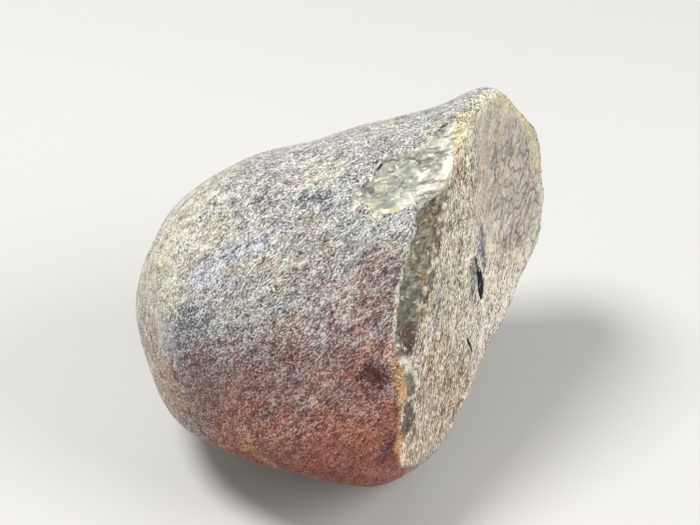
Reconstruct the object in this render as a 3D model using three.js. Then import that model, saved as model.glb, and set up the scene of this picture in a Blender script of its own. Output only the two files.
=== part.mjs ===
// A rough agate nodule: a rounded cobble with a granular rind, broken across its right end into
// a hollowed face, with flakes struck off along the ridge between the rind and the break.
//
// The stone is described as it is held up to look at: x to the right, y away from the looker and
// z up, in millimetres from its middle. It is then leaned back until its worn spot lies flat.
// Directions are [azimuth, elevation] in degrees: azimuth 0 faces the looker, 90 faces right,
// 180 faces away, and elevation is upward.
import * as THREE from "three";
import { mergeVertices } from "three/addons/utils/BufferGeometryUtils.js";

const squaresPerEdge = 28;       // along each edge of the box that the surface starts from
const leanBack = 40;             // degrees, from the held pose to the resting pose

// Outline of the whole cobble from the front: [degrees anticlockwise from +x, radius].
const outline = [
  [-175, 29.5], [-160, 29.9], [-146, 29.9], [-132, 30.1], [-118, 32.2], [-104, 34.4],
  [-90, 35.2], [-76, 33.4], [-62, 28.8], [-48, 25.0], [-35, 23.9], [-20, 24.0],
  [-7, 25.7], [4, 28.2], [14, 32.0], [26, 33.6], [40, 36.2], [50, 36.6],
  [56, 34.2], [62, 29.7], [72, 25.8], [86, 23.2], [104, 21.4], [122, 22.7],
  [137, 24.6], [152, 26.5], [168, 28.2],
];

// The dome towards the looker and the one behind: depth, and how square its shoulder is.
const frontDome = { depth: 19.5, fullness: 2.35 };
const backDome = { depth: 22.0, fullness: 2.5 };

// Flat breaks: the way each faces, its distance from the middle, and how round its edge is worn.
const flatBreaks = [
  { facing: [-131.6, -76.1], far: 23.05, worn: 4.0 },   // underside
  { facing: [76.0, -52.3], far: 25.9, worn: 2.0 },      // toe, lower right
  { facing: [145.2, -28.7], far: 21.6, worn: 4.0 },     // behind, lower right
  { facing: [-67.0, -10.0], far: 27.7, worn: 1.4 },     // left end
  { facing: [92.0, 56.0], far: 34.7, worn: 0.8 },       // beside the peak
];

// The broken right end: a near strip and a deeper part that meet in a soft valley.
const brokenEnd = {
  nearStrip: { facing: [66.0, -9.5], far: 16.33 },
  deepPart: { facing: [54.0, -13.6], far: 14.66 },
  valley: 4.0,
  worn: 0.8,
};

// Glassy facets struck off beside the break. Each is a flat floor with the outline that it has from
// the front, as x and z, anticlockwise, and its walls rise outwards from that outline.
const facets = [
  {                                        // scar by the ridge, lower part
    facing: [-6.9, 28.7], far: 20.48, steep: 1.0,
    outline: [[3.5, 10.2], [7.1, 10.7], [11.3, 12.8], [10.5, 18.6], [5.9, 18.4], [3.0, 13.1]],
  },
  {                                        // scar by the ridge, upper part
    facing: [2.5, 22.4], far: 21.1, steep: 1.0,
    outline: [[10.4, 12.2], [13.8, 13.7], [15.8, 22.0], [14.2, 22.9], [9.3, 19.7], [8.8, 16.5]],
  },
  {                                        // long chip down the near edge of the break
    facing: [35.1, -5.4], far: 19.4, steep: 1.3,
    outline: [[8.7, -9.9], [11.9, 3.5], [13.5, 13.4], [10.9, 12.5], [9.0, 7.8], [7.7, 2.6],
      [6.9, -2.3], [6.9, -5.9], [7.6, -9.6]],
  },
  {                                        // two small chips below it
    facing: [44.0, -12.0], far: 18.8, steep: 1.2,
    outline: [[8.8, -13.6], [9.5, -14.0], [10.1, -12.8], [10.0, -11.0], [9.4, -10.6], [8.9, -11.4]],
  },
  {
    facing: [46.0, -16.0], far: 19.6, steep: 1.2,
    outline: [[8.7, -18.0], [9.4, -17.6], [9.9, -16.0], [9.8, -14.6], [9.2, -14.5], [8.7, -15.4]],
  },
];

// Flakes and dents: a ball of this radius bites this deep, at a point of the surface.
const flakes = [
  { at: [-12.2, -12.5, -22.4], facing: [-24, -55], ball: 6, deep: 0.7 },   // chip under the front
  { at: [3.5, -18.7, -11.0], facing: [8, -7], ball: 4, deep: 0.45 },       // pit in the rind
  { at: [0.0, 20.0, 12.0], facing: [168, 34], ball: 55, deep: 1.5 },       // three scars behind
  { at: [-15.0, 16.5, -2.0], facing: [-146, 6], ball: 40, deep: 1.0 },
  { at: [9.0, 18.0, -5.0], facing: [150, -16], ball: 30, deep: 0.8 },
];

// The small worn spot that the stone lies on.
const restSpot = { far: 22.3, worn: 0.5 };

// Low swells of the surface, in and out.
const swellHeight = 0.25;

const outOfReach = 1e3;

function unit([azimuth, elevation]) {
  const a = THREE.MathUtils.degToRad(azimuth);
  const e = THREE.MathUtils.degToRad(elevation);
  return new THREE.Vector3(Math.sin(a) * Math.cos(e), -Math.cos(a) * Math.cos(e), Math.sin(e));
}

// The smaller of two lengths, with a fillet where they are closer than width.
function smoothMin(a, b, width) {
  const overlap = Math.max(width - Math.abs(a - b), 0) / width;
  return Math.min(a, b) - overlap * overlap * width / 4;
}

function smoothMax(a, b, width) {
  return -smoothMin(-a, -b, width);
}

// A closed cubic curve through the outline's points, with the slope at each point taken from
// its two neighbours, weighted by how near they are.
function outlineRadius(angle) {
  const count = outline.length;
  const turnOf = (i) => Math.floor(i / count) * 360;
  const at = (i) => outline[((i % count) + count) % count][0] + turnOf(i);
  const radius = (i) => outline[((i % count) + count) % count][1];
  const slope = (i) => {
    const before = at(i) - at(i - 1);
    const after = at(i + 1) - at(i);
    const fall = (radius(i) - radius(i - 1)) / before;
    const rise = (radius(i + 1) - radius(i)) / after;
    return (fall * after + rise * before) / (before + after);
  };
  const wrapped = angle < at(0) ? angle + 360 : angle;
  let i = 0;
  while (at(i + 1) <= wrapped) i += 1;
  const step = at(i + 1) - at(i);
  const t = (wrapped - at(i)) / step;
  const start = (1 + 2 * t) * (1 - t) ** 2 * radius(i) + t * (1 - t) ** 2 * step * slope(i);
  const end = t * t * (3 - 2 * t) * radius(i + 1) + t * t * (t - 1) * step * slope(i + 1);
  return start + end;
}

// The whole cobble: a rounded form between the outline and the two domes.
function cobble(ray) {
  const dome = ray.y < 0 ? frontDome : backDome;
  const across = Math.hypot(ray.x, ray.z);
  const angle = THREE.MathUtils.radToDeg(Math.atan2(ray.z, ray.x));
  const sideways = (across / outlineRadius(angle)) ** dome.fullness;
  const depthways = (Math.abs(ray.y) / dome.depth) ** dome.fullness;
  return (sideways + depthways) ** (-1 / dome.fullness);
}

// How far along the ray a flat plane lies.
function plane(ray, facing, far) {
  const lean = ray.dot(unit(facing));
  return lean > 1e-3 ? far / lean : outOfReach;
}

function hollowedEnd(ray) {
  const near = plane(ray, brokenEnd.nearStrip.facing, brokenEnd.nearStrip.far);
  const deep = plane(ray, brokenEnd.deepPart.facing, brokenEnd.deepPart.far);
  return smoothMax(near, deep, brokenEnd.valley);
}

// How far along the ray it enters the ball that struck a flake.
function biteOf(ray, { at, facing, ball, deep }) {
  const centre = new THREE.Vector3(...at).addScaledVector(unit(facing), ball - deep);
  const nearest = ray.dot(centre);
  const chord = nearest * nearest - centre.lengthSq() + ball * ball;
  const enters = chord > 0 ? nearest - Math.sqrt(chord) : -1;
  return enters > 0 ? enters : outOfReach;
}

// How far along the ray a facet lies. Its walls start where the point is outside the outline.
function facetOf(ray, point, { facing, far, steep, outline: corners }) {
  let outside = -outOfReach;
  corners.forEach(([x, z], i) => {
    const [nextX, nextZ] = corners[(i + 1) % corners.length];
    const edge = Math.hypot(nextX - x, nextZ - z);
    const across = ((point.x - x) * (nextZ - z) - (point.z - z) * (nextX - x)) / edge;
    outside = Math.max(outside, across);
  });
  return plane(ray, facing, far) + steep * Math.max(outside, 0);
}

function swell({ x, y, z }) {
  const long = Math.sin(x / 3.3 + 1.2) * Math.sin(z / 3.9 + 0.4) * Math.cos(y / 6);
  const short = Math.sin(z / 2.7 + y / 5.1 + 2.0) * Math.sin(x / 4.6 + 1.9);
  return swellHeight * (long + 0.8 * short);
}

// Distance from the middle to the surface along a ray.
function surface(ray) {
  let reach = cobble(ray);
  for (const { facing, far, worn } of flatBreaks) {
    reach = smoothMin(reach, plane(ray, facing, far), worn);
  }
  reach = smoothMin(reach, hollowedEnd(ray), brokenEnd.worn);
  const point = ray.clone().multiplyScalar(reach);
  for (const facet of facets) reach = Math.min(reach, facetOf(ray, point, facet));
  for (const flake of flakes) reach = Math.min(reach, biteOf(ray, flake));
  reach += swell(ray.clone().multiplyScalar(reach));
  return smoothMin(reach, plane(ray, [180, leanBack - 90], restSpot.far), restSpot.worn);
}

// A finely divided box whose corners are all moved out or in to the stone's surface.
function stoneGeometry() {
  const n = squaresPerEdge;
  const box = new THREE.BoxGeometry(2, 2, 2, n, n, n);
  box.deleteAttribute("normal");
  box.deleteAttribute("uv");
  const skin = mergeVertices(box);
  const place = skin.attributes.position;
  const even = (c) => Math.tan(c * Math.PI / 4);       // keeps the squares alike in size
  for (let i = 0; i < place.count; i += 1) {
    const ray = new THREE.Vector3(even(place.getX(i)), even(place.getY(i)), even(place.getZ(i)));
    ray.normalize().multiplyScalar(surface(ray.clone()));
    place.setXYZ(i, ray.x, ray.y, ray.z);
  }
  skin.computeVertexNormals();
  return skin;
}

const rind = new THREE.MeshStandardMaterial({ color: 0x9b958d, roughness: 0.65, metalness: 0 });
const agate = new THREE.Mesh(stoneGeometry(), rind);
agate.name = "agate";
agate.rotation.x = THREE.MathUtils.degToRad(-leanBack);

// The origin is under the middle of the resting stone, on the surface it lies on.
const restingBox = new THREE.Box3().setFromObject(agate, true);
const middle = restingBox.getCenter(new THREE.Vector3());
agate.position.set(-middle.x, -middle.y, -restingBox.min.z);

const part = new THREE.Group();
part.add(agate);

export default part;
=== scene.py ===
import math

import bpy
import numpy as np
from mathutils import Euler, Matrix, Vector


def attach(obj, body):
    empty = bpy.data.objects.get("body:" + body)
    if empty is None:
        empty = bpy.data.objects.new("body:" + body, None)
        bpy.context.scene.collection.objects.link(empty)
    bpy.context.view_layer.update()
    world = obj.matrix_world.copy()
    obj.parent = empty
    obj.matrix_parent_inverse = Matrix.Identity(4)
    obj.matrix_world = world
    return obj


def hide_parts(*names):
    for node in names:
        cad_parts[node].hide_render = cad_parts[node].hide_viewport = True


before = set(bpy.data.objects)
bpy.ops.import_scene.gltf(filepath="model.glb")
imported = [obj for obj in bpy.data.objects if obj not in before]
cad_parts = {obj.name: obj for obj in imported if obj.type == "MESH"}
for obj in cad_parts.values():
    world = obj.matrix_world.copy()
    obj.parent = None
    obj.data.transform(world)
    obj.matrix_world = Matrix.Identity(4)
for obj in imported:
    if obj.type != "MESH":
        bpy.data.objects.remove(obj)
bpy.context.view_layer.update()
print("frame loaded:", sorted(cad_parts))

# The stone is worked out as it is held up to look at: x right, y away from the looker, z up, in
# millimetres from its middle. It is then leaned back and set down on its worn spot.
# A facing is [azimuth, elevation] in degrees: azimuth 0 is towards the looker, 90 is right.
stoneShape = {
    "squares": 128,  # along each edge of the six grids
    "finerTowards": (0.17, -0.34, 0.02),  # the squares crowd together this way, up to 1.4 times
    "leanBack": 40.0,  # degrees
    "setDown": (0.266, 0.976, 22.3),  # mm, from the stone's middle to the row's origin
    "outline": [  # degrees anticlockwise from +x, mm
        (-175, 29.5), (-160, 29.9), (-146, 29.9), (-132, 30.1), (-118, 32.2), (-104, 34.4),
        (-90, 35.2), (-76, 33.4), (-62, 28.8), (-48, 25.0), (-35, 23.9), (-20, 24.0),
        (-7, 25.7), (4, 28.2), (14, 32.0), (26, 33.6), (40, 36.2), (50, 36.6),
        (56, 34.2), (62, 29.7), (72, 25.8), (86, 23.2), (104, 21.4), (122, 22.7),
        (137, 24.6), (152, 26.5), (168, 28.2)],
    "frontDome": (19.5, 2.35),  # depth in mm, squareness of the shoulder
    "backDome": (22.0, 2.5),
    "flatBreaks": [  # facing, mm from the middle, width of the worn edge
        ((-131.6, -76.1), 23.05, 4.0),
        ((76.0, -52.3), 25.9, 2.0),
        ((145.2, -28.7), 21.6, 4.0),
        ((-67.0, -10.0), 27.7, 1.4),
        ((92.0, 56.0), 34.7, 0.8)],
    "nearStrip": ((66.0, -9.5), 16.33),  # the broken end's two parts and the valley between
    "deepPart": ((54.0, -13.6), 14.66),
    "valley": 4.0,
    "endWorn": 0.8,
    "restSpot": (22.3, 0.5),
    "swellHeight": 0.25,
}

# Glassy facets struck off beside the break: finish, facing, mm from the middle, how steeply the
# walls rise outwards, and the flat floor's outline from the front, as x and z in mm, anticlockwise.
facets = [
    ("milky", (-6.9, 28.7), 20.48, 1.0, [
        (3.5, 10.2), (7.1, 10.7), (11.3, 12.8), (10.5, 18.6), (5.9, 18.4), (3.0, 13.1)]),
    ("milky", (2.5, 22.4), 21.10, 1.0, [
        (10.4, 12.2), (13.8, 13.7), (15.8, 22.0), (14.2, 22.9), (9.3, 19.7), (8.8, 16.5)]),
    ("smoky", (35.1, -5.4), 19.40, 1.3, [
        (8.7, -9.9), (11.9, 3.5), (13.5, 13.4), (10.9, 12.5), (9.0, 7.8), (7.7, 2.6), (6.9, -2.3),
        (6.9, -5.9), (7.6, -9.6)]),
    ("smoky", (44.0, -12.0), 18.80, 1.2, [
        (8.8, -13.6), (9.5, -14.0), (10.1, -12.8), (10.0, -11.0), (9.4, -10.6), (8.9, -11.4)]),
    ("smoky", (46.0, -16.0), 19.60, 1.2, [
        (8.7, -18.0), (9.4, -17.6), (9.9, -16.0), (9.8, -14.6), (9.2, -14.5), (8.7, -15.4)]),
]

# Smaller flakes and dents: where, which way it faces, radius of the ball that bites, how deep.
flakes = [
    ((-12.2, -12.5, -22.4), (-24, -55), 6, 0.7),
    ((3.5, -18.7, -11.0), (8, -7), 4, 0.45),
    ((0.0, 20.0, 12.0), (168, 34), 55, 1.5),
    ((-15.0, 16.5, -2.0), (-146, 6), 40, 1.0),
    ((9.0, 18.0, -5.0), (150, -16), 30, 0.8),
]

outOfReach = 1e3  # mm
leastLean = 1e-3  # of a ray towards a plane that it can still reach
lattice = 256  # random slopes or centres before noise repeats
noiseGain = 1.6  # takes gradient noise out to about -1 and 1
layersSpan = 1.5  # height of two layers of it added up
shelfTread = 0.65  # flat share of each shelf


# The arrow of length 1 that a facing points along.
def facingVector(facing):
    a, e = np.radians(facing)
    return np.array([np.sin(a) * np.cos(e), -np.cos(a) * np.cos(e), np.sin(e)])


# The smaller of two lengths, filleted where they are closer than width.
def smoothMin(a, b, width):
    overlap = np.clip(width - np.abs(a - b), 0, None) / width
    return np.minimum(a, b) - overlap ** 2 * width / 4


# An eased step from 0 at low to 1 at high: 3 t^2 - 2 t^3, where t is the share of the way. It runs
# downwards where low is the larger.
def smoothStep(low, high, value):
    t = np.clip((value - low) / (high - low), 0, 1)
    return t * t * (3 - 2 * t)


# A bell curve: 1 in the middle, 0.37 at one width from it and almost 0 at two.
def bell(distance, width):
    return np.exp(-(distance / width) ** 2)


def between(start, end, share):
    return start + (end - start) * share


# Gradient noise: every corner of a lattice has its own random slope, and a point takes the eight
# slopes around it, faded from one to the next. It runs from about -1 to 1.
def gradientNoise(points, size, seed):
    rng = np.random.default_rng(seed)
    shuffle = np.tile(rng.permutation(lattice), 2)
    slopes = rng.normal(size=(lattice, 3))
    slopes /= np.linalg.norm(slopes, axis=1)[:, None]
    cell = points / size
    low = np.floor(cell).astype(int)
    part = cell - low
    fade = part ** 3 * (part * (part * 6 - 15) + 10)
    total = np.zeros(len(points))
    for corner in np.ndindex(2, 2, 2):
        x, y, z = ((low + corner) % lattice).T
        slope = slopes[shuffle[shuffle[shuffle[x] + y] + z]]
        weight = np.prod(np.where(corner, fade, 1 - fade), axis=1)
        total += weight * np.sum(slope * (part - corner), axis=1)
    return total * noiseGain


# Several layers of gradient noise, each half the size and half the height of the last.
def layeredNoise(points, size, layers, seed):
    total = sum(gradientNoise(points, size / 2 ** k, seed + k) / 2 ** k for k in range(layers))
    return total / layersSpan


# Every cell of a lattice holds one centre, pushed about at random, with a dome round it: the value
# is 0 on a centre and falls by the distance to it. Each dome also draws a lot from 0 to 1.
def domes(points, size, seed):
    rng = np.random.default_rng(seed)
    shuffle = np.tile(rng.permutation(lattice), 2)
    pushed, lots = rng.random((lattice, 3)), rng.random(lattice)
    cell = points / size
    low = np.floor(cell).astype(int)
    nearest, lot = np.full(len(points), outOfReach), np.zeros(len(points))
    for neighbour in np.ndindex(3, 3, 3):
        corner = low + neighbour - 1
        x, y, z = (corner % lattice).T
        drawn = shuffle[shuffle[shuffle[x] + y] + z]
        away = np.linalg.norm(cell - corner - pushed[drawn], axis=1)
        lot = np.where(away < nearest, lots[drawn], lot)
        nearest = np.minimum(nearest, away)
    return -nearest, lot


# Noise cut into shelves: each step of it is flat, then rises over its last third.
def shelves(points, size, count, seed):
    level = (layeredNoise(points, size, 2, seed) + 1) * count / 2
    flat = np.floor(level)
    return (flat + smoothStep(shelfTread, 1.0, level - flat)) / count


# Closed cubic curve through the outline's points, with slopes from their neighbours.
def outlineRadius(angle):
    turns, radii = np.array(stoneShape["outline"], float).T
    at = np.concatenate([turns - 360, turns, turns + 360])
    radius = np.tile(radii, 3)
    slope = np.gradient(radius, at)
    i = np.searchsorted(at, angle, side="right") - 1
    step = at[i + 1] - at[i]
    t = (angle - at[i]) / step
    start = (1 + 2 * t) * (1 - t) ** 2 * radius[i] + t * (1 - t) ** 2 * step * slope[i]
    end = t * t * (3 - 2 * t) * radius[i + 1] + t * t * (t - 1) * step * slope[i + 1]
    return start + end


# The whole cobble: (across / outline) ^ n + (depth / dome) ^ n = 1, solved along each ray.
def cobbleReach(rays):
    near = rays[:, 1] < 0
    depth = np.where(near, stoneShape["frontDome"][0], stoneShape["backDome"][0])
    fullness = np.where(near, stoneShape["frontDome"][1], stoneShape["backDome"][1])
    across = np.hypot(rays[:, 0], rays[:, 2])
    outline = outlineRadius(np.degrees(np.arctan2(rays[:, 2], rays[:, 0])))
    total = (across / outline) ** fullness + (np.abs(rays[:, 1]) / depth) ** fullness
    return total ** (-1 / fullness)


# How far along each ray a flat plane lies: its distance over the ray's lean towards it.
def planeReach(rays, facing, far):
    lean = rays @ facingVector(facing)
    return np.where(lean > leastLean, far / np.maximum(lean, leastLean), outOfReach)


# How far along each ray it enters a ball: the nearer root of |ray * t - centre| = ball.
def biteReach(rays, at, facing, ball, deep):
    centre = np.array(at) + facingVector(facing) * (ball - deep)
    nearest = rays @ centre
    chord = nearest ** 2 - centre @ centre + ball ** 2
    enters = np.where(chord > 0, nearest - np.sqrt(np.maximum(chord, 0)), -1)
    return np.where(enters > 0, enters, outOfReach)


# How far along each ray a facet lies. Its walls start where a point is outside the outline.
def facetReach(rays, points, facing, far, steep, outline, bend):
    front = points[:, [0, 2]]
    corners = np.array(outline)
    outside = np.full(len(rays), -outOfReach)
    for corner, edge in zip(corners, np.roll(corners, -1, axis=0) - corners):
        across = (front - corner) @ np.array([edge[1], -edge[0]]) / np.hypot(*edge)
        outside = np.maximum(outside, across)
    return planeReach(rays, facing, far) + steep * np.maximum(outside + bend, 0)


# Low swells: two products of sines, out and in.
def swell(points):
    x, y, z = points.T
    long = np.sin(x / 3.3 + 1.2) * np.sin(z / 3.9 + 0.4) * np.cos(y / 6)
    short = np.sin(z / 2.7 + y / 5.1 + 2.0) * np.sin(x / 4.6 + 1.9)
    return stoneShape["swellHeight"] * (long + 0.8 * short)


# Distance of points from a route of straight stretches, or from one point.
def routeDistance(points, route):
    route = np.atleast_2d(np.array(route, float))
    nearest = np.linalg.norm(points - route[0], axis=1)
    for start, along in zip(route, np.diff(route, axis=0)):
        t = np.clip((points - start) @ along / (along @ along), 0, 1)
        away = np.linalg.norm(points - start - t[:, None] * along, axis=1)
        nearest = np.minimum(nearest, away)
    return nearest


# Six square grids of a cube turned into rays: a grid value u becomes tan(45 deg * u), which keeps
# the squares alike, and corners that two grids share are one vertex. Adding one short arrow to
# every ray turns the rays towards it.
def cubeRays(squares, finerTowards):
    steps = np.arange(squares + 1)
    u, v = np.meshgrid(steps, steps, indexing="ij")
    numbers = np.arange(u.size).reshape(u.shape)
    square = np.stack([numbers[:-1, :-1], numbers[1:, :-1], numbers[1:, 1:], numbers[:-1, 1:]], -1)
    square = square.reshape(-1, 4)
    corners, faces = [], []
    for axis in range(3):
        for side in (0, squares):
            grid = np.zeros(u.shape + (3,), int)
            grid[..., axis], grid[..., (axis + 1) % 3], grid[..., (axis + 2) % 3] = side, u, v
            faces.append((square if side else square[:, ::-1]) + len(corners) * u.size)
            corners.append(grid.reshape(-1, 3))
    corners, faces = np.concatenate(corners), np.concatenate(faces)
    code = corners @ np.array([1, squares + 1, (squares + 1) ** 2])
    _, first, welded = np.unique(code, return_index=True, return_inverse=True)
    rays = np.tan((corners[first] / squares * 2 - 1) * math.pi / 4)
    rays = rays / np.linalg.norm(rays, axis=1)[:, None] + np.array(finerTowards)
    return rays / np.linalg.norm(rays, axis=1)[:, None], welded.reshape(-1)[faces]


stoneRelief = {
    "lump": (6.0, 0.30),  # size and depth in mm of the soft lumps all over
    "dimple": (2.2, 0.16),
    "dimpleElsewhere": 0.4,  # share of its depth outside the rind
    "sugar": (0.75, 0.12),  # the rind's grains
    "endSugar": (1.1, 0.16),  # and the broken end's
    "crumb": (1.0, 0.60),  # ragged bits along the edges of the break
    "crumbInGlass": 0.5,  # share of their depth there
    "lipCrumb": (0.7, 0.35),  # and round the glassy flakes
    "streak": (1.3, 0.28),  # furrows down the broken end
    "streakRun": (-0.15, 0.07, -1.0),  # their direction
    "streakStretch": 5.0,
    "wrinkle": (1.50, 0.18),  # winding furrows in its deep part
    "wrinkleStretch": 1.5,
    "wrinkleWidth": 0.25,  # of the noise, either side of its 0
    "wrinkleRises": (1.0, 7.0),  # mm up, over which they come in
    "wrinkleFalls": (27.0, 19.0),  # and over which they fade out, from the top
    "shelf": (2.4, 1.3),  # steps in the milky scar
    "shelfCount": 8,
    "shelfRun": (0.9, 0.0, 0.45),
    "shelfStretch": 2.2,
    "lobe": (4.0, 0.5),  # rounded lobes in the smoky chip
    "pebble": (1.5, 0.8),  # crystals along the chip and the ridge
    "pebbles": [  # route, half width
        ([(13.6, -15.4, 14.0), (12.6, -15.2, 10.0), (12.1, -15.2, 7.1), (11.6, -15.4, 3.5),
          (10.9, -15.5, 0.3), (10.1, -15.6, -2.4)], 1.7),
        ([(9.2, -15.0, -8.0), (9.0, -15.0, -10.4), (9.6, -14.4, -12.0)], 0.8),
        ([(20.4, -7.2, 26.7), (18.2, -11.1, 24.3), (15.2, -13.1, 21.3), (15.0, -14.0, 19.2),
          (13.7, -15.6, 14.0)], 1.6)],
    "glassPebbles": (0.45, 0.65),  # how near its route a crystal is made of glass,
    "glassTop": (15.0, 13.5),  # and between which levels
    "glassFoot": (-9.0, -7.0),
    "nubs": [  # where, how wide, how far out
        ((28.3, 7.7, 13.2), 1.8, 0.8), ((27.6, 4.7, 18.7), 1.3, -0.5),
        ((26.6, 2.3, 22.0), 1.0, 0.5), ((27.8, 9.0, 6.0), 1.2, -0.2),
        ((25.5, 9.6, -1.5), 1.5, 0.3), ((-28.0, -3.0, -3.0), 3.0, 0.2)],
    "crackWander": (1.5, 0.1),  # size and height in mm of the bends in a crack
    "crackFade": 3,  # half widths over which its mask falls
    "cracks": [  # route, half width, depth, how dark the painted shade in it is
        ([(18.6, -4.3, 4.9), (18.9, -3.1, 3.6), (19.4, -1.3, 1.8), (19.8, 0.1, 0.0),
          (20.0, 0.8, -1.2)], 0.28, 1.0, 1.0),
        ([(19.2, -2.1, 2.6), (19.6, -0.6, 0.9), (19.9, 0.4, -0.4)], 0.46, 1.4, 1.0),
        ([(17.7, -0.2, -7.1), (18.0, 1.2, -8.0), (18.7, 2.2, -9.2)], 0.20, 0.5, 0.85),
        ([(17.3, -10.8, 18.2), (17.4, -9.6, 15.8), (17.5, -8.6, 13.8)], 0.13, 0.3, 0.7),
        ([(18.8, -5.4, 12.2), (19.5, -4.1, 11.0)], 0.15, 0.3, 0.8),
        ([(22.0, 1.1, 8.5), (22.2, 2.3, 6.2)], 0.13, 0.2, 0.7),
        ([(10.0, -14.5, 18.3), (8.7, -15.1, 16.6)], 0.14, 0.3, 0.8),
        ([(6.2, -14.7, 18.2), (4.8, -15.1, 16.9), (3.9, -15.9, 15.6)], 0.13, 0.3, 0.75),
        ([(12.9, -12.9, 22.3), (15.2, -12.2, 23.0)], 0.18, 0.3, 0.7),
        ([(7.6, -15.9, 14.9), (6.8, -16.3, 12.6)], 0.12, 0.2, 0.6),
        ([(15.7, -12.9, 16.5), (16.1, -9.9, 9.5), (16.1, -6.0, 0.1)], 0.35, 0.3, 0.0)],
}

rims = {  # of facets and flakes, in mm
    "bendSize": 1.3,  # how long their bends are, and how far out they go
    "facetBend": 0.7,
    "flakeBend": 0.35,
    "lipWidth": 0.28,  # depth either side of a facet's rim
    "lipEnds": (1.0, 0.3),  # cut depth at which the lip has gone, and still whole
    "glassShows": (0.03, 0.12),  # cut depth at which the glass begins, and is whole
}
meetings = {  # masks where two surfaces meet, mm from one to the other
    "broken": (-0.3, 0.3),  # the cobble and the broken end
    "deep": (-1.0, 1.0),  # the near strip and the deep part
    "wrinkled": (0.4, 2.2),  # how far into the deep part it wrinkles
    "edge": 1.3,  # width either side of the edge of the break
    "brink": 0.4,
}


# Points pressed together along a direction, so that noise on them comes out longer that way.
def stretched(points, direction, factor):
    along = np.array(direction) / np.linalg.norm(direction)
    run = points @ along
    return points - np.outer(run * (1 - 1 / factor), along)


# The whole stone cut by the broken end's two planes.
def brokenStone(rays):
    whole = cobbleReach(rays)
    for facing, far, worn in stoneShape["flatBreaks"]:
        whole = smoothMin(whole, planeReach(rays, facing, far), worn)
    near = planeReach(rays, *stoneShape["nearStrip"])
    deep = planeReach(rays, *stoneShape["deepPart"])
    end = -smoothMin(-near, -deep, stoneShape["valley"])
    masks = {"broken": smoothStep(*meetings["broken"], whole - end),
             "deep": smoothStep(*meetings["deep"], deep - near),
             "wrinkled": smoothStep(*meetings["wrinkled"], deep - near),
             "edge": bell(whole - end, meetings["edge"]),
             "brink": bell(whole - end, meetings["brink"])}
    return smoothMin(whole, end, stoneShape["endWorn"]), masks


# The facets and flakes taken off, with rims that noise bends. A mask says what each uncovered.
def bitten(rays, reach, masks):
    points = rays * reach[:, None]
    bend = layeredNoise(points, rims["bendSize"], 2, 5)
    cuts = [(kind, facetReach(rays, points, *facet, rims["facetBend"] * bend))
            for kind, *facet in facets]
    cuts += [("worn", biteReach(rays, *flake) + rims["flakeBend"] * bend) for flake in flakes]
    kinds = ["none", "milky", "smoky", "worn"]
    owner, lip, uncut = np.zeros(len(rays)), np.zeros(len(rays)), reach
    for kind, cut in cuts:
        owner = np.where(cut < reach, kinds.index(kind), owner)
        if kind != "worn":
            lip = np.maximum(lip, bell(cut - reach, rims["lipWidth"]))
        reach = np.minimum(reach, cut)
    for kind in ("milky", "smoky"):
        shows = smoothStep(*rims["glassShows"], uncut - reach)
        masks[kind] = (owner == kinds.index(kind)) * shows
    masks["lip"] = lip * smoothStep(*rims["lipEnds"], uncut - reach)
    masks["glassy"] = np.maximum(masks["milky"], masks["smoky"])
    return reach


# Layered noise from 0 down to its depth.
def pitted(points, name, seed, layers=1):
    size, depth = stoneRelief[name]
    return depth * (layeredNoise(points, size, layers, seed) - 1) / 2


# Lumps, dimples and grains all over, furrows down the broken end, and ragged edges and nubs.
def grainRelief(points, masks):
    rind = (1 - masks["broken"]) * (1 - masks["glassy"])
    end = masks["broken"] * (1 - masks["glassy"])
    run = stretched(points, stoneRelief["streakRun"], stoneRelief["streakStretch"])
    height = pitted(points, "lump", seed=11, layers=2)
    height += pitted(points, "dimple", seed=21) * between(stoneRelief["dimpleElsewhere"], 1, rind)
    height += pitted(points, "sugar", seed=31) * rind
    height += pitted(points, "endSugar", seed=35) * end
    height += pitted(run, "streak", seed=41, layers=2) * end
    ragged = between(1, stoneRelief["crumbInGlass"], masks["glassy"])
    height += pitted(points, "crumb", seed=51, layers=2) * masks["edge"] * ragged
    height += pitted(points, "lipCrumb", seed=55, layers=2) * masks["lip"]
    for at, width, out in stoneRelief["nubs"]:
        height += out * bell(np.linalg.norm(points - np.array(at), axis=1), width)
    return height


# Winding furrows in the broken end's deep part, down where a noise passes 0.
def wrinkleRelief(points, masks):
    size, depth = stoneRelief["wrinkle"]
    run = stretched(points, stoneRelief["streakRun"], stoneRelief["wrinkleStretch"])
    masks["fold"] = layeredNoise(run, size, 2, 67)
    masks["wrinkled"] *= masks["broken"] * (1 - masks["glassy"])
    masks["wrinkled"] *= smoothStep(*stoneRelief["wrinkleRises"], masks["level"])
    masks["wrinkled"] *= smoothStep(*stoneRelief["wrinkleFalls"], masks["level"])
    folded = smoothStep(stoneRelief["wrinkleWidth"], 0.0, np.abs(masks["fold"]))
    return -depth * folded * masks["wrinkled"]


# Shelves in the milky scar and lobes in the smoky chip, but none along their lips.
def glassRelief(points, masks):
    size, depth = stoneRelief["shelf"]
    run = stretched(points, stoneRelief["shelfRun"], stoneRelief["shelfStretch"])
    steps = depth * (1 - shelves(run, size, stoneRelief["shelfCount"], 61))
    size, depth = stoneRelief["lobe"]
    lobes = depth * (0.5 - np.abs(gradientNoise(points, size, 63)))
    return -(steps * masks["milky"] + lobes * masks["smoky"]) * (1 - masks["lip"])


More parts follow.
